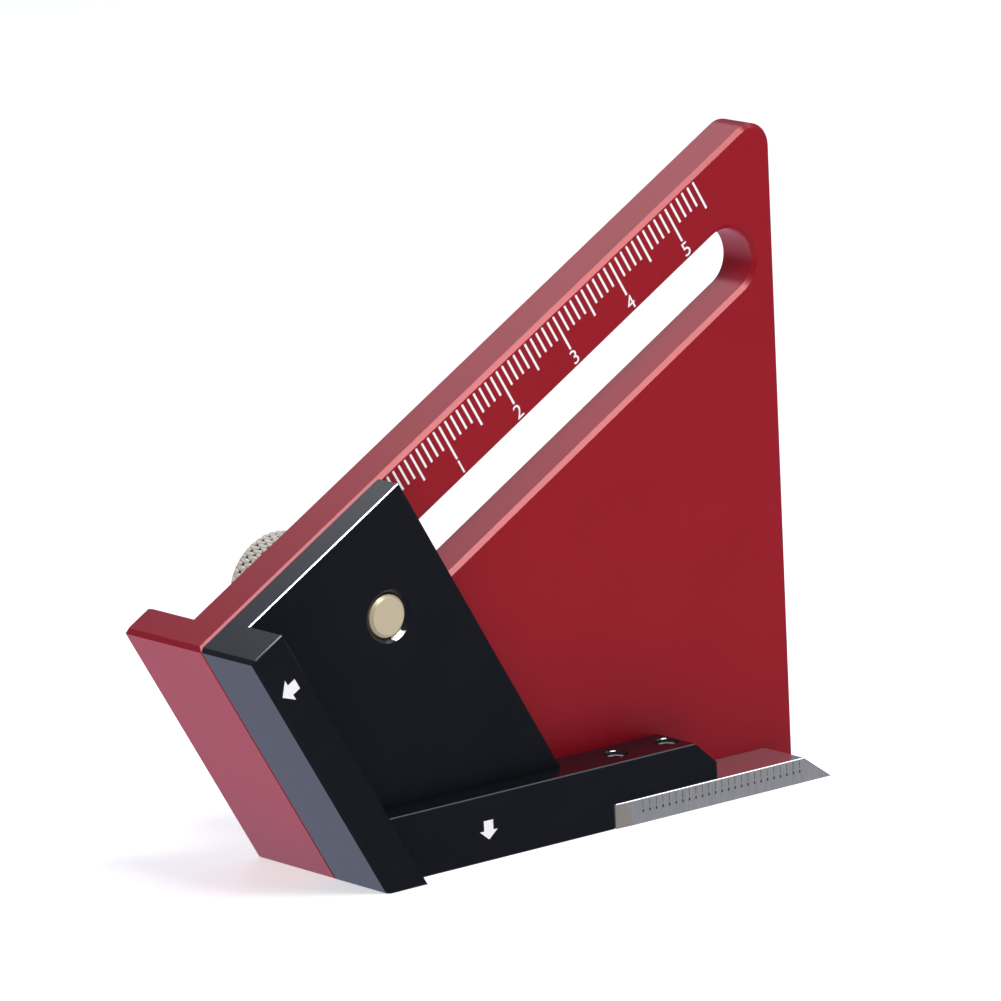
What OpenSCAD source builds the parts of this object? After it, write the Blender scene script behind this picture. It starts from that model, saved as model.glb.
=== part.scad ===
// Half-thickness marking gauge.
// A wedge-shaped body carries a fence. A slider runs in a slot cut along the body's sloping edge,
// so it opens a jaw at the fence and lifts a marking blade off the base line by half as much.
// Frame: +X along the base, +Y towards the clamp knob, +Z up, origin under the middle of the box.

/* [Body] */
// Length of the base edge
base_len = 69; // [66:0.5:80]
// Length of the fence face, square to the sloping edge
fence_len = 34.8; // [32:0.2:40]
// Rise of the sloping edge above the base; 30 degrees gives exact halves
slope = 30; // [28:1:32]
// Thickness of the body plate
plate_t = 6; // [5:0.5:8]
// Thickness of the fence flange, along the slope
fence_t = 4.4; // [3:0.2:6]
// Depth of the fence from the plate's front face
fence_depth = 14.5; // [12:0.5:17]
// Radius of the top corner
corner_r = 3; // [1:0.5:5]

/* [Slot] */
// Width of the slot
slot_w = 7.8; // [7:0.2:9]
// Distance from the sloping edge to the slot's centre line
slot_inset = 12; // [11:0.1:12.5]
// Distance from the fence face to the centre of the slot's lower end
slot_start = 12; // [10:0.5:13]
// Distance from the fence face to the centre of the slot's upper end
slot_end = 84.6; // [84:0.1:86]
// Travel of the slider along the slot
travel = 58; // [54:1:60]

/* [Slider] */
// Width of the slider along the slope; its far edge is the index
slider_w = 30.3; // [30.2:0.1:32]
// Thickness of the slider plate
slider_t = 3.8; // [3:0.1:5]
// Width of the lip along the slope
lip_w = 5; // [4:0.2:6]
// Depth of the lip in front of the body
lip_depth = 9.8; // [8.5:0.1:11]
// Height of the bottom bar
bar_h = 7.8; // [7.4:0.2:9]
// Depth of the bottom bar in front of the body
bar_depth = 7; // [6:0.2:8]
// End of the bar, measured along the base
bar_end = 51.3; // [50.5:0.1:53]
// Length of the sloping cut at the bar's end
bar_cut_x = 3.2; // [2:0.1:3.4]
// Height of the sloping cut at the bar's end
bar_cut_z = 2.8; // [2:0.1:3]

/* [Blade] */
// Thickness of the blade
blade_t = 3; // [2.4:0.1:3.2]
// Start of the blade, measured along the base
blade_start = 35.6; // [35:0.1:36]
// Point of the blade, measured along the base
blade_end = 68.5; // [60:0.5:75]
// How far the blade stands proud of the bar's front
blade_proud = 0.3; // [0.1:0.1:0.6]
// Length of the ground end, from the top edge to the point
blade_point = 4.2; // [3:0.1:6]

/* [Blade screws] */
// Thread diameter
screw_d = 1.6; // [1.4:0.2:2]
// Head diameter
screw_head_d = 2.4; // [2.3:0.1:2.5]
// Head height
screw_head_h = 1.4; // [1.2:0.1:1.6]
// Length under the head
screw_len = 5.2; // [4.8:0.1:5.6]
// Width across the corners of the hexagon socket
socket_d = 1.4; // [1.2:0.1:1.6]
// Depth of the hexagon socket
socket_depth = 0.8; // [0.6:0.1:0.9]
// Depth of the head's recess in the bar
recess_depth = 1.8; // [1.8:0.1:2.4]
// Place of the first screw along the base
screw_x_1 = 38.9; // [38:0.1:41]
// Place of the second screw along the base
screw_x_2 = 46.6; // [45:0.1:46.6]

/* [Clamp] */
// Thread diameter of the stud
stud_d = 5; // [4:0.5:5]
// Distance from the fence face to the stud
stud_s = 20.8; // [18:0.2:23]
// Bevel round the stud's two ends
stud_edge = 0.4; // [0.2:0.1:0.6]
// Extra diameter of the countersink in front of the stud
sink = 1.4; // [0.8:0.2:2]
// Diameter of the washer
washer_d = 12; // [11:0.5:12.5]
// Thickness of the washer
washer_t = 0.8; // [0.6:0.1:1]
// Diameter of the knurled knob
knob_d = 13.8; // [12:0.2:14]
// Length of the knob, with its collar
knob_len = 11; // [9:0.5:13]
// Length of the collar in front of the knurled head
collar_len = 1.5; // [1:0.1:3]
// Step from the head down to the collar, on the radius
collar_step = 1.6; // [1:0.1:2.5]
// Bevel on the head's two edges
knob_edge = 0.6; // [0.3:0.1:1]
// Thickness of the closed end behind the stud
knob_cap = 2; // [1.5:0.5:3]

/* [Hidden] */
$fn = 96;
arc_steps = 24;      // straight steps in each round end of an outline
over = 1;            // how far a cutter runs past the face it opens
far = 2 * base_len;  // well outside the part, for the corners of large cutters
slide_gap = 0.03;    // running gap between flat faces that slide or turn on each other
key_gap = 0.05;      // running gap on each side of the guide key
key_short = 0.4;     // how far the key stops short of the body's back
end_gap = 0.35;      // gap left between the key and each end of the slot
bore_gap = 0.05;     // running gap round the stud, on the radius
hole_gap = 0.2;      // clearance round the stud in the washer and round a screw head
// corners of the side view, as [x, z], with the foot of the fence at [0, 0]
fence_top = [-fence_len * sin(slope), fence_len * cos(slope)];
slope_len = (base_len - fence_top[0]) / cos(slope);
apex = [base_len, fence_top[1] + slope_len * sin(slope)];
// ends of the guide key on the slot's centre line
key_start = slot_start + end_gap;
key_end = slot_end - travel - end_gap;
// screw heads, up from the base
recess_z = bar_h - recess_depth;
head_z = recess_z + screw_head_h;
recess_d = screw_head_d + 2 * hole_gap;
// places along Y, from the body's front face
washer_front = plate_t + slide_gap;
washer_back = washer_front + washer_t;
knob_front = washer_back + slide_gap;
knob_back = knob_front + knob_len;
bore_back = knob_back - knob_cap;
stud_front = 0.1 - slider_t;
stud_back = bore_back - 0.5;
// the middle of the box becomes the origin
origin = [(fence_top[0] + base_len) / 2, (knob_back - lip_depth) / 2, 0];
red = [0.62, 0.11, 0.14];
black = [0.10, 0.11, 0.13];
steel = [0.62, 0.62, 0.64];
brass = [0.76, 0.68, 0.50];

// a point s along the slope from the fence face, and d in from the sloping edge
function on_slope(s, d) = fence_top + s * [cos(slope), sin(slope)] - d * [-sin(slope), cos(slope)];

// stands a side-view outline up between y0 and y1
module slab(y0, y1) translate([0, y1, 0]) rotate([90, 0, 0]) linear_extrude(y1 - y0) children();

// puts a shape drawn along Z onto Y, at s and d on the slope
module on_axis(s, d) {
    p = on_slope(s, d);
    translate([p[0], 0, p[1]]) rotate([-90, 0, 0]) children();
}

// a round bar on the stud's axis, from y0 to y1
module stud_bar(y0, y1, dia) on_axis(stud_s, slot_inset)
    translate([0, 0, y0]) cylinder(h = y1 - y0, d = dia);

// side view of all that lies more than s along the slope and above z
module beyond(s, z)
    polygon([[s / cos(slope) - z * tan(slope), z], [far, z], [far, far], on_slope(s, -over)]);

// points along an arc about c, from angle a0 to a1
function arc(c, r, a0, a1) = [for (i = [0:arc_steps]) let (a = a0 + (a1 - a0) * i / arc_steps)
    c + r * [cos(a), sin(a)]];

// outline with round ends, from s0 to s1 on the slot's centre line
module slot_shape(s0, s1, w) polygon(concat(arc(on_slope(s1, slot_inset), w / 2, slope - 90, slope + 90),
    arc(on_slope(s0, slot_inset), w / 2, slope + 90, slope + 270)));

module body_outline() {
    // the arc of the top corner leaves the upright edge this far below the sharp corner
    back = corner_r / tan((90 - slope) / 2);
    corner = arc(apex - [corner_r, back], corner_r, 0, 90 + slope);
    polygon(concat([[0, 0], [base_len, 0]], corner, [fence_top]));
}

module slider_outline() {
    bar_nose = [[bar_end, bar_h - bar_cut_z], [bar_end - bar_cut_x, bar_h]];
    // where the plate's index edge meets the top of the bar
    index_foot = [slider_w / cos(slope) - bar_h * tan(slope), bar_h];
    polygon(concat([[0, 0], [bar_end, 0]], bar_nose, [index_foot, on_slope(slider_w, 0), fence_top]));
}

module body_plate() color(red) difference() {
    slab(0, fence_depth) body_outline();
    // leaves the fence flange standing behind the plate
    slab(plate_t, fence_depth + over) beyond(fence_t, -over);
    slab(-over, plate_t + over) slot_shape(slot_start, slot_end, slot_w);
}

module slider_block() color(black) difference() {
    union() {
        slab(-lip_depth, -slide_gap) slider_outline();
        // guide key, which runs in the body's slot
        slab(-slider_t / 2, plate_t - key_short) slot_shape(key_start, key_end, slot_w - 2 * key_gap);
    }
    // leaves the lip standing in front of the bar, and both in front of the plate
    slab(-lip_depth - over, -bar_depth) beyond(lip_w, -over);
    slab(-lip_depth - over, -slider_t) beyond(lip_w, bar_h);
    // seat for the blade
    translate([blade_start, -bar_depth - over, -over]) cube([bar_end, bar_depth + over, blade_t + over]);
    // stud hole and its countersink
    stud_bar(-slider_t - over, plate_t + over, stud_d);
    on_axis(stud_s, slot_inset) translate([0, 0, -slider_t])
        cylinder(h = sink / 2, d1 = stud_d + sink, d2 = stud_d);
    // screw holes and head recesses
    for (x = [screw_x_1, screw_x_2]) translate([x, -bar_depth / 2, 0]) {
        cylinder(h = bar_h, d = screw_d);
        translate([0, 0, recess_z]) cylinder(h = recess_depth + over, d = recess_d);
    }
}

module blade() color(steel) difference() {
    slab(-bar_depth - blade_proud, -slide_gap)
        polygon([[blade_start, 0], [blade_end, 0],
                 [blade_end - blade_point, blade_t], [blade_start, blade_t]]);
    for (x = [screw_x_1, screw_x_2]) translate([x, -bar_depth / 2, -over])
        cylinder(h = blade_t + 2 * over, d = screw_d);
}

// cap screw with a hexagon socket, its head down in the bar's recess
module blade_screw(x) color(steel) translate([x, -bar_depth / 2, recess_z]) difference() {
    union() {
        translate([0, 0, -screw_len]) cylinder(h = screw_len + screw_head_h, d = screw_d);
        cylinder(h = screw_head_h, d = screw_head_d);
    }
    translate([0, 0, screw_head_h - socket_depth]) cylinder(h = socket_depth + over, d = socket_d, $fn = 6);
}

module clamp_stud() {
    r = stud_d / 2;
    color(brass) on_axis(stud_s, slot_inset) rotate_extrude()
        polygon([[0, stud_front], [r - stud_edge, stud_front], [r, stud_front + stud_edge],
                 [r, stud_back - stud_edge], [r - stud_edge, stud_back], [0, stud_back]]);
}

module clamp_washer() color(steel) difference() {
    stud_bar(washer_front, washer_back, washer_d);
    stud_bar(washer_front - over, washer_back + over, stud_d + 2 * hole_gap);
}

module clamp_knob() {
    bore_r = stud_d / 2 + bore_gap;
    head_r = knob_d / 2;
    collar_r = head_r - collar_step;
    head_front = knob_front + collar_len;
    color(brass) on_axis(stud_s, slot_inset) rotate_extrude()
        polygon([[bore_r, knob_front], [collar_r, knob_front], [collar_r, head_front],
                 [head_r - knob_edge, head_front], [head_r, head_front + knob_edge],
                 [head_r, knob_back - knob_edge], [head_r - knob_edge, knob_back],
                 [0, knob_back], [0, bore_back], [bore_r, bore_back]]);
}

translate(-origin) body_plate();
translate(-origin) slider_block();
translate(-origin) blade();
translate(-origin) blade_screw(screw_x_1);  // blade_screw_1
translate(-origin) blade_screw(screw_x_2);  // blade_screw_2
translate(-origin) clamp_stud();
translate(-origin) clamp_washer();
translate(-origin) clamp_knob();
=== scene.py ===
# %% [markdown]
# A half-thickness marking gauge, in red and black anodised aluminium. A wedge-shaped body carries
# a fence, a slider runs along its sloping edge, and a knurled knob at the back clamps the two.
# The CAD model gives every size, so the first cell loads it as a fixed frame, and the looks are
# built around it: a finished copy of each metal part, and the marks that are lasered on them.

# %% Load the frame
from math import atan2, cos, pi, radians, sin

import bmesh
import bpy
from mathutils import Matrix, Quaternion, Vector


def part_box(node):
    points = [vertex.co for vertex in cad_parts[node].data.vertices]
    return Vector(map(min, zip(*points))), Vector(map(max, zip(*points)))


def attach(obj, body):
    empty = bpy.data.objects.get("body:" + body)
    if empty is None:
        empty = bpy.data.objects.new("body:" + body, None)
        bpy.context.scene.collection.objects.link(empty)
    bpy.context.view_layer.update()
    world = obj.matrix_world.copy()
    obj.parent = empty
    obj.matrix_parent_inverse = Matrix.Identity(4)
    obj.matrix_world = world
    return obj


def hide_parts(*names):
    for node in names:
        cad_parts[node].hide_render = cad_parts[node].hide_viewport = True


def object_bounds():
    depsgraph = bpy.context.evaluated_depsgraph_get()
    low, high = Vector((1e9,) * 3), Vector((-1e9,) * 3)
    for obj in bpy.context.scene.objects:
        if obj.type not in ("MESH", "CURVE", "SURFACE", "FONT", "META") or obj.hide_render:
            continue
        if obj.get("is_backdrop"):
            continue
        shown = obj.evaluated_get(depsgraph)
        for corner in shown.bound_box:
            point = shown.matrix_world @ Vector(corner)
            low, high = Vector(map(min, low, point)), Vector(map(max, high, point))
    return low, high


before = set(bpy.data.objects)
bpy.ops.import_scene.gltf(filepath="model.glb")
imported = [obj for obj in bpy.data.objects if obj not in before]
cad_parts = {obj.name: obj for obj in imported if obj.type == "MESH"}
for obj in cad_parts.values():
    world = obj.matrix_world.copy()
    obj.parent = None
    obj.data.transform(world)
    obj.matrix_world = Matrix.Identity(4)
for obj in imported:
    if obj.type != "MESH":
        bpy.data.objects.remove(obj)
cad_low, cad_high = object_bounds()
MM = 0.001
print("CAD box, mm:", [round(x / MM, 2) for x in cad_high - cad_low])

# %% [markdown]
# The sloping edge rises at 30 degrees, and the marks, the arrow on the lip and the stud all belong
# to it. Blender could hold this as a parent empty, turned by 30 degrees. A small function is used
# instead, because a finished piece keeps its place in its mesh: s runs up the slope from the fence
# face, d runs in from the sloping edge, and both are in millimetres.

# %% Places on the slope
SLOPE = radians(30)
TOUCH = 0.01  # how far apart, in mm, two places may be and still count as one
FENCE_LENGTH = 34.8 * MM
body_low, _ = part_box("body_plate")
slider_low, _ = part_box("slider_block")
blade_low, blade_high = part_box("blade")
fence_top = Vector((body_low.x, 0, FENCE_LENGTH * cos(SLOPE)))
fence_foot = Vector((body_low.x + FENCE_LENGTH * sin(SLOPE), 0, 0))
plate_front = body_low.y


def on_slope(s, d, y=0.0):
    """The point s along the slope and d in from its edge, in mm, at depth y in metres."""
    along = Vector((cos(SLOPE), 0, sin(SLOPE))) * s * MM
    inwards = Vector((sin(SLOPE), 0, -cos(SLOPE))) * d * MM
    return fence_top + along + inwards + Vector((0, y, 0))


def slope_place(point):
    """How far a point lies along the slope from the fence face, and in from its edge, in mm."""
    away = point - fence_top
    return ((away.x * cos(SLOPE) + away.z * sin(SLOPE)) / MM,
            (away.x * sin(SLOPE) - away.z * cos(SLOPE)) / MM)


def flush(value, target):
    """True if two lengths in metres are the same, give or take a hundredth of a millimetre."""
    return abs(value - target) < TOUCH * MM


def in_fence_plane(edge):
    """True if the whole edge lies in the plane of the fence face."""
    return all(abs(slope_place(v.co)[0]) < TOUCH for v in edge.verts)


def over_fence(edge):
    """True for the edge across the foot of the slope, where it meets the fence face."""
    return in_fence_plane(edge) and all(abs(slope_place(v.co)[1]) < TOUCH for v in edge.verts)


STUD_CENTRE = on_slope(20.8, 12)
print("stud axis at x, z, mm:", round(STUD_CENTRE.x / MM, 2), round(STUD_CENTRE.z / MM, 2))

# %% [markdown]
# Every finish below is made from nodes, with nothing painted from an image. Colours are written
# as the hex values that a paint chart or a web page would give, and turned into the linear numbers
# that Blender works with by one function. Others add a node and join it up, and mix two shades or
# tilt the surface, so that each material reads as a short recipe.

# %% Helpers for colours and nodes
def colour(hex_code):
    """An sRGB hex value such as 'A01824', as linear red, green, blue and opacity."""
    parts = [int(hex_code[i:i + 2], 16) / 255 for i in (0, 2, 4)]
    return [p / 12.92 if p <= 0.04045 else ((p + 0.055) / 1.055) ** 2.4 for p in parts] + [1.0]


def add(tree, kind, inputs=None, **settings):
    """Adds a node. Each input is given a plain value, or another node's output to read."""
    made = tree.nodes.new(kind)
    for name, value in settings.items():
        setattr(made, name, value)
    for name, value in (inputs or {}).items():
        if isinstance(value, bpy.types.NodeSocket):
            tree.links.new(value, made.inputs[name])
        else:
            made.inputs[name].default_value = value
    return made


def new_finish(name, **sockets):
    """A material with its shader's own numbers set; returns it with its tree and shader."""
    finish = bpy.data.materials.new(name)
    finish.use_nodes = True
    shader = finish.node_tree.nodes["Principled BSDF"]
    for socket, value in sockets.items():
        shader.inputs[socket.replace("_", " ")].default_value = value
    return finish, finish.node_tree, shader


def plain_finish(name, hex_code, **sockets):
    """A material of one even colour."""
    finish, _, shader = new_finish(name, **sockets)
    shader.inputs["Base Color"].default_value = colour(hex_code)
    return finish


def object_place(tree):
    """The output that gives each point's place in the object, in metres."""
    return add(tree, "ShaderNodeTexCoord").outputs["Object"]


def noise(tree, place, size_mm, detail=2.0):
    """The output of a noise whose features are about the given size."""
    return add(tree, "ShaderNodeTexNoise", {"Vector": place, "Scale": 1 / (size_mm * MM),
                                            "Detail": detail}).outputs["Fac"]


def two_tone(tree, shader, share, first, second):
    """Colours the shader between two shades, by how large the share is."""
    tone = add(tree, "ShaderNodeMix", {"Factor": share, "A": colour(first), "B": colour(second)},
               data_type="RGBA")
    tree.links.new(tone.outputs["Result"], shader.inputs["Base Color"])


def bumped(tree, shader, height, strength, distance_mm):
    """Tilts the shader's surface by a height that another node gives."""
    bump = add(tree, "ShaderNodeBump", {"Height": height, "Strength": strength,
                                        "Distance": distance_mm * MM})
    tree.links.new(bump.outputs["Normal"], shader.inputs["Normal"])

# %% [markdown]
# The body and the slider are aluminium, machined, blasted with fine glass beads and then anodised.
# Blasting leaves a grain of about 0.1 mm, and the dyed oxide on top is clear and hard, so the
# metal's colour comes from below a faint gloss. The grain could be modelled, but it is far finer
# than any mesh, so it is a bump from noise. It is drawn at 0.2 mm, as coarse as it needs to show,
# with a second, much larger noise that lets the dye vary a little, as real batches do.

# %% Anodised aluminium, red and black
GRAIN_SIZE, CLOUD_SIZE = 0.2, 12.0


def anodised(name, deep, light, bump=0.12, **sockets):
    """Bead-blasted and dyed aluminium. The dye varies from the deep shade to the light one."""
    finish, tree, shader = new_finish(name, **sockets)
    place = object_place(tree)
    two_tone(tree, shader, noise(tree, place, CLOUD_SIZE, detail=3.0), deep, light)
    bumped(tree, shader, noise(tree, place, GRAIN_SIZE), bump, distance_mm=0.02)
    return finish


red_anodised = anodised("red anodised aluminium, bead blasted", "A10C1D", "AD1224",
                        Metallic=0.1, Roughness=0.32, IOR=1.5)
black_anodised = anodised("black anodised aluminium, bead blasted", "121418", "181B21", bump=0.07,
                          Metallic=0.0, Roughness=0.27, IOR=1.55)
print("made", red_anodised.name, "and", black_anodised.name)

# %% [markdown]
# A machinist breaks every sharp edge, and on this gauge the broken edges are what catch the light:
# a bright line runs along each one. The CAD parts have none. They can't be changed, so each gets
# a finished copy that stands in for it. The copy could be beveled with a modifier, but the tool in
# bmesh lets the edges be chosen. The CAD mesh is loose triangles, so its corners are first welded
# and its flat faces joined again.

# %% A finished copy of a CAD part
WELD = 0.001 * MM
BODY_WIDE, BODY_NARROW = 0.5, 0.15
LIP_EDGE, SLIDER_EDGE, HOLE_RIM = 0.45, 0.12, 0.1
BLADE_EDGE = 0.08


def edges_over(bm, degrees):
    """The outward edges where two faces meet at more than this angle."""
    return [e for e in bm.edges if e.is_manifold and e.is_convex
            and e.calc_face_angle() > radians(degrees)]


def cad_copy(node):
    """A welded copy of a CAD node's mesh, with its flat faces joined."""
    bm = bmesh.new()
    bm.from_mesh(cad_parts[node].data)
    bmesh.ops.remove_doubles(bm, verts=bm.verts, dist=WELD)
    bmesh.ops.dissolve_degenerate(bm, dist=WELD, edges=bm.edges)
    bmesh.ops.dissolve_limit(bm, angle_limit=radians(0.5), verts=bm.verts, edges=bm.edges)
    return bm


def break_edges(bm, width_mm, edges):
    """Bevels the edges with one flat face each."""
    bmesh.ops.bevel(bm, geom=edges, offset=width_mm * MM, offset_type="OFFSET", segments=1,
                    profile=0.5, affect="EDGES", clamp_overlap=False, material=-1)


def piece(name, bm, body, *materials, smooth_under=30, stands_for=()):
    """Turns a bmesh into an object that rides on a body, and stands for some CAD nodes."""
    for face in bm.faces:
        face.smooth = True
    for edge in bm.edges:
        edge.smooth = edge.calc_face_angle(pi) < radians(smooth_under)
    mesh = bpy.data.meshes.new(name)
    bm.to_mesh(mesh)
    bm.free()
    made = bpy.data.objects.new(name, mesh)
    bpy.context.scene.collection.objects.link(made)
    for material in materials:
        mesh.materials.append(material)
    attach(made, body)
    if stands_for:
        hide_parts(*stands_for)
    print(name, len(mesh.vertices), "vertices,", len(mesh.polygons), "faces")
    return made


def shows_wide(edge):
    """All but the base's edges and the fence's long front edge have the wide chamfer."""
    at_base = all(flush(v.co.z, 0) for v in edge.verts)
    return over_fence(edge) or not (at_base or in_fence_plane(edge))


body_bm = cad_copy("body_plate")
wide = [e for e in edges_over(body_bm, 20) if shows_wide(e)]
break_edges(body_bm, BODY_WIDE, wide)
narrow = [e for e in edges_over(body_bm, 60) if e.calc_length() > 0.2 * MM]
break_edges(body_bm, BODY_NARROW, narrow)
print("broke", len(wide), "edges widely and", len(narrow), "narrowly")
piece("red_body", body_bm, "body", red_anodised, smooth_under=20, stands_for=["body_plate"])

# %% [markdown]
# The black slider is one milled block: a plate on the front of the body, a lip that stands out
# along the fence, and a bar along the base that holds the blade. Its edges are broken by less
# than the body's. The edge that a hand slides along, on top, has worn through to bare metal. A
# mask could paint that wear, but it follows one chamfer exactly, so the chamfer has its own finish.

# %% The slider
def in_front(edge, plane_y):
    """True if the whole edge lies in front of a depth."""
    return all(v.co.y < plane_y for v in edge.verts)


def at_fence(edge):
    """The lip's top edge over the fence, and its long front edge along it."""
    at_front = all(flush(v.co.y, slider_low.y) for v in edge.verts)
    return over_fence(edge) or (in_fence_plane(edge) and at_front)


slider_bm = cad_copy("slider_block")
at_lip = [e for e in edges_over(slider_bm, 25) if at_fence(e)]
break_edges(slider_bm, LIP_EDGE, at_lip)
outer = [e for e in edges_over(slider_bm, 50) if in_front(e, plate_front) and e.calc_length() > MM]
break_edges(slider_bm, SLIDER_EDGE, outer)
rims = [e for e in edges_over(slider_bm, 40)
        if in_front(e, plate_front) and e.calc_length() < 0.6 * MM]
break_edges(slider_bm, HOLE_RIM, rims)
print("broke", len(outer), "outer edges, and the rims of the holes")
worn_way = Vector((-sin(SLOPE), -1, cos(SLOPE))).normalized()
lip_back = slider_low.y + 5 * MM
for face in slider_bm.faces:
    worn = face.normal.dot(worn_way) > 0.98 and face.calc_center_median().y > lip_back
    face.material_index = 1 if worn else 0
bare_metal = plain_finish("aluminium, worn bare", "D8DADE", Metallic=0.8, Roughness=0.35)
piece("black_slider", slider_bm, "slider", black_anodised, bare_metal, smooth_under=20,
      stands_for=["slider_block"])

# %% [markdown]
# The blade is hardened steel, ground on its faces and polished on top. Grinding leaves fine
# upright scratches on the front, which spread reflections sideways. They are a noise that is
# squeezed along X and stretched along Z, 0.12 mm apart.

# %% Ground steel and polished steel
SCRATCH_GAP, SCRATCH_STRETCH = 0.12, 0.04
ground_steel, tree, shader = new_finish("hardened steel, ground", Metallic=0.55, Roughness=0.45)
stretched = add(tree, "ShaderNodeMapping", {"Vector": object_place(tree),
                                            "Scale": (1.0, 1.0, SCRATCH_STRETCH)})
scratches = noise(tree, stretched.outputs["Vector"], SCRATCH_GAP, detail=3.0)
two_tone(tree, shader, scratches, "AAACAD", "D6D7D8")
bumped(tree, shader, scratches, 0.35, distance_mm=0.02)

polished_steel = plain_finish("hardened steel, polished", "E4E5E7", Metallic=0.85, Roughness=0.14)
stoned_steel = plain_finish("hardened steel, stoned", "BDB4A8", Metallic=0.5, Roughness=0.4)
# The dark grey is the etched marks' own colour, and it is also painted shade inside the screws'
# sockets.
etched_grey_and_socket_shade = plain_finish("steel, etched dark, and painted shade in the sockets", "3C3E42", Roughness=0.6)
print("made", ground_steel.name, "and", polished_steel.name)

# %% [markdown]
# The blade's left end is stoned off by hand, which leaves a small slanting facet on its front. It
# could be a boolean cut, but the facet's edge is one line across a flat face, so a bisect draws
# the line and the outer corners are pushed back, each by how far it lies from the line.

# %% The blade
FACET_TOP, FACET_FOOT, FACET_BACK = 1.45 * MM, 2.4 * MM, 0.15 * MM
blade_height = blade_high.z - blade_low.z
blade_bm = cad_copy("blade")
front_face = min(blade_bm.faces, key=lambda f: f.calc_center_median().y)
facet_line = Vector((blade_low.x + FACET_FOOT, blade_low.y, 0))
across = Vector((blade_height, 0, FACET_FOOT - FACET_TOP)).normalized()
bmesh.ops.bisect_plane(blade_bm, geom=[front_face, *front_face.edges, *front_face.verts],
                       plane_co=facet_line, plane_no=across, dist=WELD)
for vert in blade_bm.verts:
    if flush(vert.co.x, blade_low.x) and flush(vert.co.y, blade_low.y):
        vert.co.y += FACET_BACK * (facet_line - vert.co).dot(across) / (FACET_FOOT * across.x)
break_edges(blade_bm, BLADE_EDGE, edges_over(blade_bm, 80))
for face in blade_bm.faces:
    stoned = face.normal.y < -0.9 and face.calc_center_median().x < blade_low.x + FACET_FOOT
    face.material_index = 1 if face.normal.z > 0.5 else 2 if stoned else 0
piece("steel_blade", blade_bm, "slider", ground_steel, polished_steel, stoned_steel,
      smooth_under=2, stands_for=["blade"])

# %% [markdown]
# The blade has its own fine divisions, etched dark: a hairline for each millimetre, with a short
# heavier stroke under it at mid-height. Etching is a few thousandths deep and could be drawn in
# the material. Thin slabs keep their edges sharp and are placed in a loop.

# %% The blade's divisions
ETCH_HEIGHT = 0.006 * MM
FIRST_DIVISION, LAST_DIVISION = 4, 28
HAIRLINE, STROKE = (0.07, 2.8, 1.9), (0.22, 1.65, 1.3)  # width, top and foot, in mm
divisions_bm = bmesh.new()
for number in range(FIRST_DIVISION, LAST_DIVISION + 1):
    for width, top, foot in (HAIRLINE, STROKE):
        middle = Vector((blade_low.x + number * MM, blade_low.y, (top + foot) / 2 * MM))
        size = Matrix.Diagonal((width * MM, 2 * ETCH_HEIGHT, (top - foot) * MM, 1))
        bmesh.ops.create_cube(divisions_bm, size=1, matrix=Matrix.Translation(middle) @ size)
piece("blade_divisions", divisions_bm, "slider", etched_grey_and_socket_shade)

# %% [markdown]
# The knob, the stud and the washer are turned on a lathe. The spin operator does the same: a
# profile of a few points is carried once round the axis, and its two ends are merged where they
# meet. Each is made standing on Z and then laid along Y, where the stud's axis is.

# %% Turned pieces
def turned(points_mm, steps, closed=False):
    """Spins a profile of (radius, length) points about Z."""
    bm = bmesh.new()
    line = [bm.verts.new((r * MM, 0, z * MM)) for r, z in points_mm]
    if closed:
        line.append(line[0])
    edges = [bm.edges.new(pair) for pair in zip(line, line[1:])]
    bmesh.ops.spin(bm, geom=bm.verts[:] + edges, cent=(0, 0, 0), axis=(0, 0, 1), dvec=(0, 0, 0),
                   angle=2 * pi, steps=steps, use_merge=True, use_duplicate=False)
    bmesh.ops.remove_doubles(bm, verts=bm.verts, dist=0.0005 * MM)
    bmesh.ops.recalc_face_normals(bm, faces=bm.faces)
    return bm


def on_stud_axis(bm, y):
    """Lays a piece that stands on Z along the stud's axis, with its foot at depth y."""
    place = Matrix.Translation((STUD_CENTRE.x, y, STUD_CENTRE.z)) @ Matrix.Rotation(-pi / 2, 4, "X")
    bmesh.ops.transform(bm, matrix=place, verts=bm.verts)
    return bm


def turned_metal(name, light, dark, ring_mm, groove_shade_radii=(0.0, 0.01), **sockets):
    """Bright turned metal: fine rings about the stud's axis, and painted shade below the grooves'
    radii.
    """
    finish, tree, shader = new_finish(name, **sockets)
    centred = add(tree, "ShaderNodeMapping", {"Vector": object_place(tree), "Scale": (1, 0, 1),
                                              "Location": (-STUD_CENTRE.x, 0, -STUD_CENTRE.z)})
    radius = add(tree, "ShaderNodeVectorMath", {0: centred.outputs["Vector"]}, operation="LENGTH")
    turns = add(tree, "ShaderNodeMath", {0: radius.outputs["Value"], 1: 2 * pi / (ring_mm * MM)},
                operation="MULTIPLY")
    wave = add(tree, "ShaderNodeMath", {0: turns.outputs["Value"]}, operation="SINE")
    bumped(tree, shader, wave.outputs["Value"], 0.3, distance_mm=0.01)
    low, high = groove_shade_radii
    share = add(tree, "ShaderNodeMapRange", {"Value": radius.outputs["Value"],
                                             "From Min": low * MM, "From Max": high * MM})
    two_tone(tree, shader, share.outputs["Result"], dark, light)
    return finish


stud_low, stud_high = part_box("clamp_stud")
stud_length = (stud_high.y - stud_low.y) / MM
stud_bm = turned([(0, 0.12), (0.25, 0.02), (0.4, 0), (2.15, 0), (2.5, 0.35),
                  (2.5, stud_length - 0.4), (2.1, stud_length), (0, stud_length)], steps=48)
brass = turned_metal("brass, turned", "E6D6B2", "E6D6B2", ring_mm=0.22, Metallic=0.25,
                     Roughness=0.4)
piece("brass_stud", on_stud_axis(stud_bm, stud_low.y), "slider", brass, stands_for=["clamp_stud"])

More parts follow.
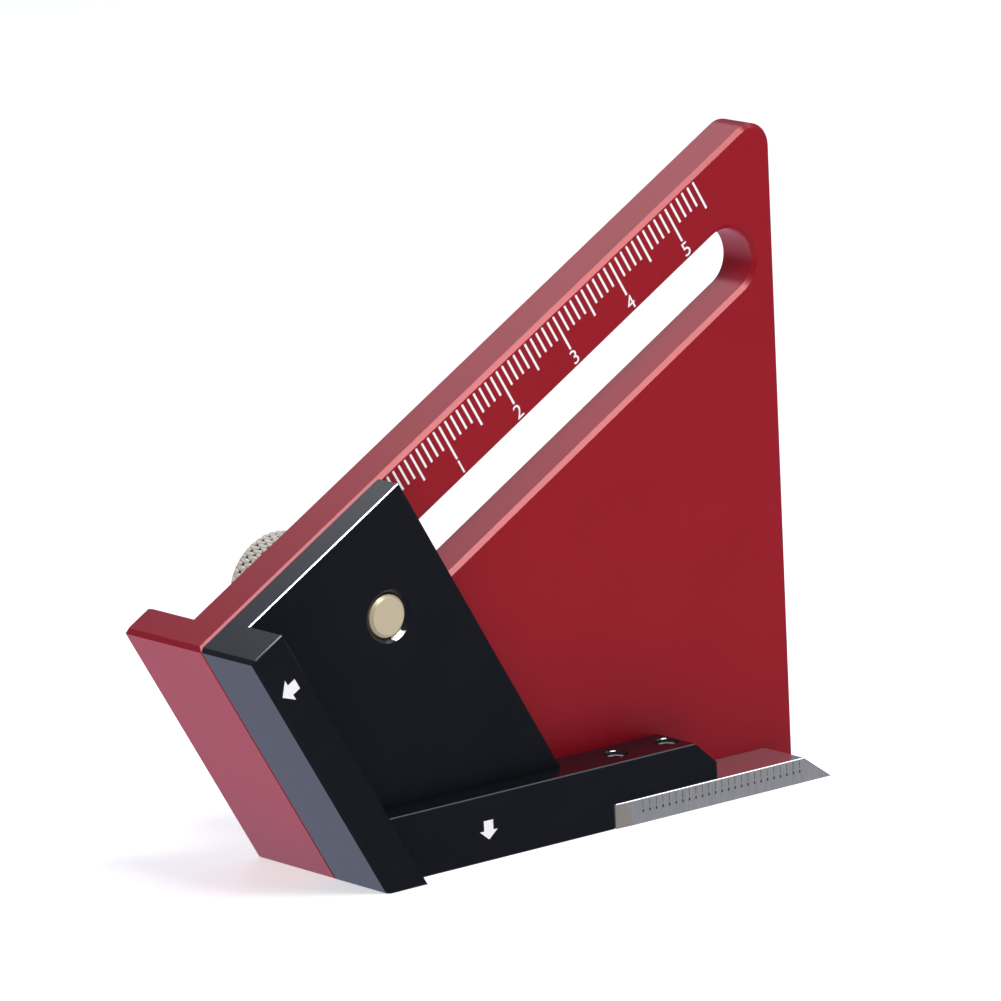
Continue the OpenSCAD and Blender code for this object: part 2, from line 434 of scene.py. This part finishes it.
washer_low, washer_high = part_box("clamp_washer")
thick = (washer_high.y - washer_low.y) / MM
washer_bm = turned([(2.7, 0.1), (2.8, 0), (5.8, 0), (6, 0.15), (6, thick - 0.15), (5.8, thick),
                    (2.8, thick), (2.7, thick - 0.1)], steps=64, closed=True)
washer_steel = turned_metal("steel, zinc plated", "C4C6C8", "C4C6C8", ring_mm=0.3, Metallic=1.0,
                            Roughness=0.32)
piece("steel_washer", on_stud_axis(washer_bm, washer_low.y), "washer", washer_steel,
      stands_for=["clamp_washer"])

# %% [markdown]
# The knob's grip is a diamond knurl, pressed into it by two crossed wheels. Its diamonds are
# 1 mm wide and 2 mm long. Hundreds of pyramids could be copied round it, but operators get
# there sooner: a tube of upright cells is poked, which puts a point in the middle of each, and
# the old edges are dissolved, so that what is left are diamonds. Insetting each one, raised,
# gives the pyramids and the grooves between them. The wheels bite deepest where they cross, so
# the middle of each groove is raised.

# %% The knurled knob
def ring_at(bm, z):
    """The open edges at one height."""
    return [e for e in bm.edges
            if e.is_boundary and all(abs(v.co.z - z * MM) < WELD for v in e.verts)]


def pull(bm, ring, to_radius, to_z):
    """Extrudes an open ring of edges to a new radius and height, and returns the new ring."""
    made = bmesh.ops.extrude_edge_only(bm, edges=ring)["geom"]
    verts = [g for g in made if isinstance(g, bmesh.types.BMVert)]
    now = verts[0].co.copy()
    grow = to_radius * MM / now.xy.length
    bmesh.ops.scale(bm, vec=(grow, grow, 1), verts=verts)
    bmesh.ops.translate(bm, vec=(0, 0, to_z * MM - now.z), verts=verts)
    return [g for g in made if isinstance(g, bmesh.types.BMEdge) and g.is_boundary]


knob_low, knob_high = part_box("clamp_knob")
knob_length = (knob_high.y - knob_low.y) / MM
knob_radius = (knob_high.x - knob_low.x) / 2 / MM
CELLS_ROUND, CELLS_LONG = 44, 4
DEPTH = 0.3  # how deep the knurl goes, in mm
SADDLE_DEPTH = 0.12
BORE, BORE_MOUTH = 2.55, 2.75
head_start, head_end = 2.1, knob_length - 0.6
core = knob_radius - DEPTH
knob_bm = bmesh.new()
bmesh.ops.create_cone(knob_bm, cap_ends=False, segments=CELLS_ROUND,
                      depth=(head_end - head_start) * MM, radius1=core * MM, radius2=core * MM,
                      matrix=Matrix.Translation((0, 0, (head_start + head_end) / 2 * MM)))
upright = [e for e in knob_bm.edges if not e.is_boundary]
bmesh.ops.subdivide_edges(knob_bm, edges=upright, cuts=CELLS_LONG - 1, use_grid_fill=True)
cell_edges = [e for e in knob_bm.edges if not e.is_boundary]
bmesh.ops.poke(knob_bm, faces=knob_bm.faces[:])
bmesh.ops.dissolve_edges(knob_bm, edges=cell_edges, use_verts=False)
diamonds = knob_bm.faces[:]
bmesh.ops.inset_individual(knob_bm, faces=diamonds, thickness=0.3 * MM, depth=DEPTH * 0.92 * MM)
grooves = [e for e in knob_bm.edges if not e.is_boundary
           and all(v.co.xy.length < (core + 0.05) * MM for v in e.verts)]
halved = bmesh.ops.bisect_edges(knob_bm, edges=grooves, cuts=1)["geom_split"]
saddles = [g for g in halved if isinstance(g, bmesh.types.BMVert)]
for vert in saddles:
    vert.co.xy *= (knob_radius - SADDLE_DEPTH) * MM / vert.co.xy.length
print("the knurl has", len(diamonds), "diamonds and", len(saddles), "saddles")

front = pull(knob_bm, ring_at(knob_bm, head_start), knob_radius - 0.6, 1.5)
front = pull(knob_bm, front, knob_radius - 1.6, 1.5)
front = pull(knob_bm, front, knob_radius - 1.6, 0.15)
front = pull(knob_bm, front, knob_radius - 1.75, 0)
front = pull(knob_bm, front, BORE_MOUTH, 0)
front = pull(knob_bm, front, BORE, 0.2)
front = pull(knob_bm, front, BORE, knob_length - 2)
bmesh.ops.edgeloop_fill(knob_bm, edges=front)
back = pull(knob_bm, ring_at(knob_bm, head_end), knob_radius - 0.6, knob_length)
back = pull(knob_bm, back, 4.4, knob_length)
back = pull(knob_bm, back, 4.2, knob_length - 0.25)
bmesh.ops.edgeloop_fill(knob_bm, edges=back)
bmesh.ops.recalc_face_normals(knob_bm, faces=knob_bm.faces)
# The knurl's grooves are coloured near black by their radius: painted shade in the creases, under
# pale cream diamond tops.
knurl_with_painted_groove_shade = turned_metal("brass, knurled and nickel plated", "FBF3DE", "1E1B17", ring_mm=0.3,
                             groove_shade_radii=(knob_radius - 0.23, knob_radius - 0.13),
                             Metallic=0.1, Roughness=0.35)
plain_metal = turned_metal("brass, turned and nickel plated", "EFE6CF", "EFE6CF", ring_mm=0.3,
                           Metallic=0.6, Roughness=0.3)
for face in knob_bm.faces:
    centre = face.calc_center_median() / MM
    knurled = head_start < centre.z < head_end and centre.xy.length >= knob_radius - 1
    face.material_index = 0 if knurled else 1
piece("knurled_knob", on_stud_axis(knob_bm, knob_low.y), "knob", knurl_with_painted_groove_shade, plain_metal,
      smooth_under=15, stands_for=["clamp_knob"])

# %% [markdown]
# Two cap screws hold the blade. Each has a chamfered head with a hexagon socket. The head and the
# shank are turned in one profile that is left open on top. A six-sided ring could be bridged to
# the open one, but a bridge between two rings in one plane can cross the hole. So the open ring is
# pulled inwards and down instead, and its 36 points are then drawn in onto a hexagon's sides.

# %% The cap screws
HEAD_HEIGHT, HEAD_RADIUS, SHANK_RADIUS, SHANK_LENGTH = 1.4, 1.2, 0.8, 5.2
SOCKET_CORNER, SOCKET_FLOOR = 0.7, 0.65


def cap_screw():
    """A cap screw that stands on Z, with the seat of its head at zero."""
    bm = turned([(0.95, HEAD_HEIGHT), (HEAD_RADIUS - 0.12, HEAD_HEIGHT),
                 (HEAD_RADIUS, HEAD_HEIGHT - 0.12), (HEAD_RADIUS, 0), (SHANK_RADIUS, 0),
                 (SHANK_RADIUS, 0.2 - SHANK_LENGTH), (SHANK_RADIUS - 0.2, -SHANK_LENGTH),
                 (0, -SHANK_LENGTH)], steps=36)
    mouth = pull(bm, [e for e in bm.edges if e.is_boundary], SOCKET_CORNER, HEAD_HEIGHT)
    floor_ring = pull(bm, mouth, SOCKET_CORNER, SOCKET_FLOOR)
    tip = pull(bm, floor_ring, 0.1, 0.5)
    bmesh.ops.edgeloop_fill(bm, edges=tip)
    for vert in {v for e in mouth + floor_ring for v in e.verts}:
        from_flat = atan2(vert.co.y, vert.co.x) % (pi / 3) - pi / 6
        vert.co.xy *= cos(pi / 6) / cos(from_flat)
    bmesh.ops.recalc_face_normals(bm, faces=bm.faces)
    # The socket's walls and floor take the dark grey second material, as painted shade in the
    # recess.
    for face in bm.faces:
        centre = face.calc_center_median() / MM
        in_socket = centre.xy.length < SOCKET_CORNER and 0.4 < centre.z < HEAD_HEIGHT - TOUCH
        face.material_index = 1 if in_socket else 0
    return bm


screw_steel, tree, shader = new_finish("stainless steel, bright", Metallic=0.5, Roughness=0.35)
two_tone(tree, shader, noise(tree, object_place(tree), 0.8), "E4E5E6", "FAFAFB")
for number in (1, 2):
    low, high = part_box(f"blade_screw_{number}")
    bm = cap_screw()
    seat = Matrix.Translation(((low.x + high.x) / 2, (low.y + high.y) / 2,
                               high.z - HEAD_HEIGHT * MM))
    bmesh.ops.transform(bm, matrix=seat, verts=bm.verts)
    piece(f"cap_screw_{number}", bm, "slider", screw_steel, etched_grey_and_socket_shade,
          stands_for=[f"blade_screw_{number}"])

# %% [markdown]
# The scale is lasered into the anodising, which turns it white. A real mark has no height, and it
# could be drawn in the material. Thin slabs are simpler to place and stay sharp at any size, and
# at 0.012 mm they clear the slider, which runs 0.03 mm away. Each millimetre has a tick, and the
# fifth and tenth are longer.

# %% The scale
# The lasered white also glows faintly, at strength 0.12: a painted glow that brightens the marks.
laser_white_glowing, tree, shader = new_finish("anodising, lasered white, with a painted glow", Roughness=0.7,
                                       Emission_Color=colour("FFFFFF"), Emission_Strength=0.12)
two_tone(tree, shader, noise(tree, object_place(tree), 0.15), "D8D6D4", "FFFFFF")

MARK_HEIGHT = 0.012 * MM
ZERO, LAST_MARK = 30.4, 55
TENTH, FIFTH, UNIT = 4.8, 3.84, 2.75
TICK_START, TICK_WIDTH = 0.73, 0.3
ticks_bm = bmesh.new()
for mark in range(LAST_MARK + 1):
    length = TENTH if mark % 10 == 0 else FIFTH if mark % 5 == 0 else UNIT
    middle = on_slope(ZERO + mark, TICK_START + length / 2, plate_front)
    size = Matrix.Diagonal((TICK_WIDTH * MM, 2 * MARK_HEIGHT, length * MM, 1))
    place = Matrix.Translation(middle) @ Matrix.Rotation(-SLOPE, 4, "Y") @ size
    bmesh.ops.create_cube(ticks_bm, size=1, matrix=place)
piece("scale_ticks", ticks_bm, "body", laser_white_glowing)

# %% [markdown]
# The numbers are Blender's own letter shapes. A text object is turned into a mesh first, and only
# then stood up and turned to the slope, so that the place is in the mesh.

# %% The numbers on the scale
NUMBER_SIZE, NUMBER_FOOT = 2.5, 7.5
upright_on_slope = Matrix.Rotation(-SLOPE, 4, "Y") @ Matrix.Rotation(pi / 2, 4, "X")
numbers_bm = bmesh.new()
for number in range(1, 6):
    curve = bpy.data.curves.new("number", "FONT")
    curve.body, curve.size, curve.extrude = str(number), NUMBER_SIZE * MM, MARK_HEIGHT
    curve.align_x = "CENTER"
    text = bpy.data.objects.new("number", curve)
    shape = text.to_mesh().copy()
    foot = on_slope(ZERO + 10 * number, NUMBER_FOOT, plate_front)
    shape.transform(Matrix.Translation(foot) @ upright_on_slope)
    numbers_bm.from_mesh(shape)
    bpy.data.objects.remove(text)
piece("scale_numbers", numbers_bm, "body", laser_white_glowing)

# %% [markdown]
# Two small arrows show which face of the slider measures what. Each is an outline of seven points,
# filled and given a little thickness.

# %% The arrows
def arrow(tail_mm, shaft_mm, head_mm, head_width_mm):
    """An arrow that points down Z from its tail to a tip at the origin, in the XZ plane."""
    bm = bmesh.new()
    half, wing = shaft_mm / 2, head_width_mm / 2
    outline = [(0, 0), (wing, head_mm), (half, head_mm), (half, tail_mm), (-half, tail_mm),
               (-half, head_mm), (-wing, head_mm)]
    face = bm.faces.new([bm.verts.new((x * MM, MARK_HEIGHT, z * MM)) for x, z in outline])
    raised = bmesh.ops.extrude_face_region(bm, geom=[face])["geom"]
    bmesh.ops.translate(bm, vec=(0, -2 * MARK_HEIGHT, 0),
                        verts=[g for g in raised if isinstance(g, bmesh.types.BMVert)])
    bmesh.ops.recalc_face_normals(bm, faces=bm.faces)
    return bm


bar_front = slider_low.y + 2.8 * MM
down_tip = (fence_foot.x + 16.95 * MM, bar_front, 2.54 * MM)
down_bm = arrow(tail_mm=2.26, shaft_mm=1.35, head_mm=1.06, head_width_mm=2.6)
bmesh.ops.translate(down_bm, vec=down_tip, verts=down_bm.verts)
piece("arrow_on_bar", down_bm, "slider", laser_white_glowing)

lip_tip = on_slope(1.08, 6.0, slider_low.y)
lip_bm = arrow(tail_mm=2.46, shaft_mm=1.37, head_mm=1.32, head_width_mm=2.8)
towards_fence = Matrix.Translation(lip_tip) @ Matrix.Rotation(pi / 2 - SLOPE, 4, "Y")
bmesh.ops.transform(lip_bm, matrix=towards_fence, verts=lip_bm.verts)
piece("arrow_on_lip", lip_bm, "slider", laser_white_glowing)

# %% [markdown]
# The camera stands where a product photographer would put it: a long lens, a little above the
# gauge and to its left, so that the fence, the front and the top edges all show.

# %% Camera
LOOK, ROLL = Vector((0.60418, 0.76695, -0.21622)), radians(-2.645)
FROM_FENCE_FOOT = Vector((-537.10, -715.28, 241.29)) * MM
camera = bpy.data.objects.new("camera", bpy.data.cameras.new("camera"))
bpy.context.scene.collection.objects.link(camera)
camera.data.lens, camera.data.sensor_width = 292.24, 36
camera.data.clip_start, camera.data.clip_end = 0.05, 20
camera.location = Vector((fence_foot.x, plate_front, 0)) + FROM_FENCE_FOOT
camera.rotation_mode = "QUATERNION"
camera.rotation_quaternion = LOOK.to_track_quat("-Z", "Y") @ Quaternion((0, 0, 1), ROLL)
bpy.context.scene.camera = camera
bpy.context.scene.view_settings.view_transform = "Standard"
print("camera right axis:", [round(x, 3) for x in camera.rotation_quaternion @ Vector((1, 0, 0))])

# %% [markdown]
# A pale floor carries the gauge. Most light comes from a large soft box overhead, with smaller
# ones to the right and behind. A pale dome fills in. It is brighter overhead and behind the gauge
# than in front, as in a light tent with its camera side open.

# %% Floor and light
floor_bm = bmesh.new()
bmesh.ops.create_grid(floor_bm, x_segments=1, y_segments=1, size=4.0,
                      matrix=Matrix.Translation((0, 0, cad_low.z)))
floor_mesh = bpy.data.meshes.new("floor")
floor_bm.to_mesh(floor_mesh)
floor = bpy.data.objects.new("floor", floor_mesh)
bpy.context.scene.collection.objects.link(floor)
paper = plain_finish("white paper", "FDFDFD", Roughness=0.9, Specular_IOR_Level=0.1,
                     Emission_Color=colour("FFFFFF"), Emission_Strength=0.62)
floor_mesh.materials.append(paper)
floor.visible_glossy = False
floor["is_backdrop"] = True


def softbox(name, direction, distance, width, height, strength):
    """An area light that faces the gauge from a direction; strength is its brightness."""
    light = bpy.data.lights.new(name, "AREA")
    light.shape, light.size, light.size_y = "RECTANGLE", width, height
    light.energy = strength * pi * width * height
    lamp = bpy.data.objects.new(name, light)
    bpy.context.scene.collection.objects.link(lamp)
    towards = Vector(direction).normalized()
    lamp.location = towards * distance
    lamp.rotation_mode = "QUATERNION"
    lamp.rotation_quaternion = towards.to_track_quat("Z", "Y")


softbox("overhead box", (-0.03, -0.49, 0.87), 1.0, 0.38, 0.34, 12.0)
softbox("right box", (0.60, -0.22, 0.77), 1.0, 0.25, 0.25, 2.5)
softbox("rear box", (0.20, 0.66, 0.72), 0.48, 0.16, 0.16, 1.6)

world = bpy.data.worlds.new("light tent")
bpy.context.scene.world = world
world.use_nodes = True
tree = world.node_tree
place = add(tree, "ShaderNodeTexCoord").outputs["Generated"]


def glow(direction, edge, core, strength):
    """A soft patch of light in the tent: full inside the core, gone past the edge, as cosines."""
    near = add(tree, "ShaderNodeVectorMath", {0: place, 1: Vector(direction).normalized()},
               operation="DOT_PRODUCT")
    return add(tree, "ShaderNodeMapRange", {"Value": near.outputs["Value"], "From Min": edge,
                                            "From Max": core, "To Max": strength},
               interpolation_type="SMOOTHSTEP").outputs["Result"]


EVERYWHERE = 0.07
ceiling = glow((0.1, 0.25, 0.95), edge=0.2, core=0.75, strength=0.33)
sweep = glow((-0.1, 0.7, -0.7), edge=0.5, core=0.9, strength=1.0)
both = add(tree, "ShaderNodeMath", {0: ceiling, 1: sweep}, operation="ADD")
total = add(tree, "ShaderNodeMath", {0: both.outputs["Value"], 1: EVERYWHERE}, operation="ADD")
tent = tree.nodes["Background"]
tree.links.new(total.outputs["Value"], tent.inputs["Strength"])
tent.inputs["Color"].default_value = colour("D8DDFF")

# %% [markdown]
# The looks must not change the size, so the box of all that shows is printed, as the CAD's was at
# the start.

# %% Sizes, and the end
low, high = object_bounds()
print("visual box, mm:", [round(x / MM, 2) for x in high - low])
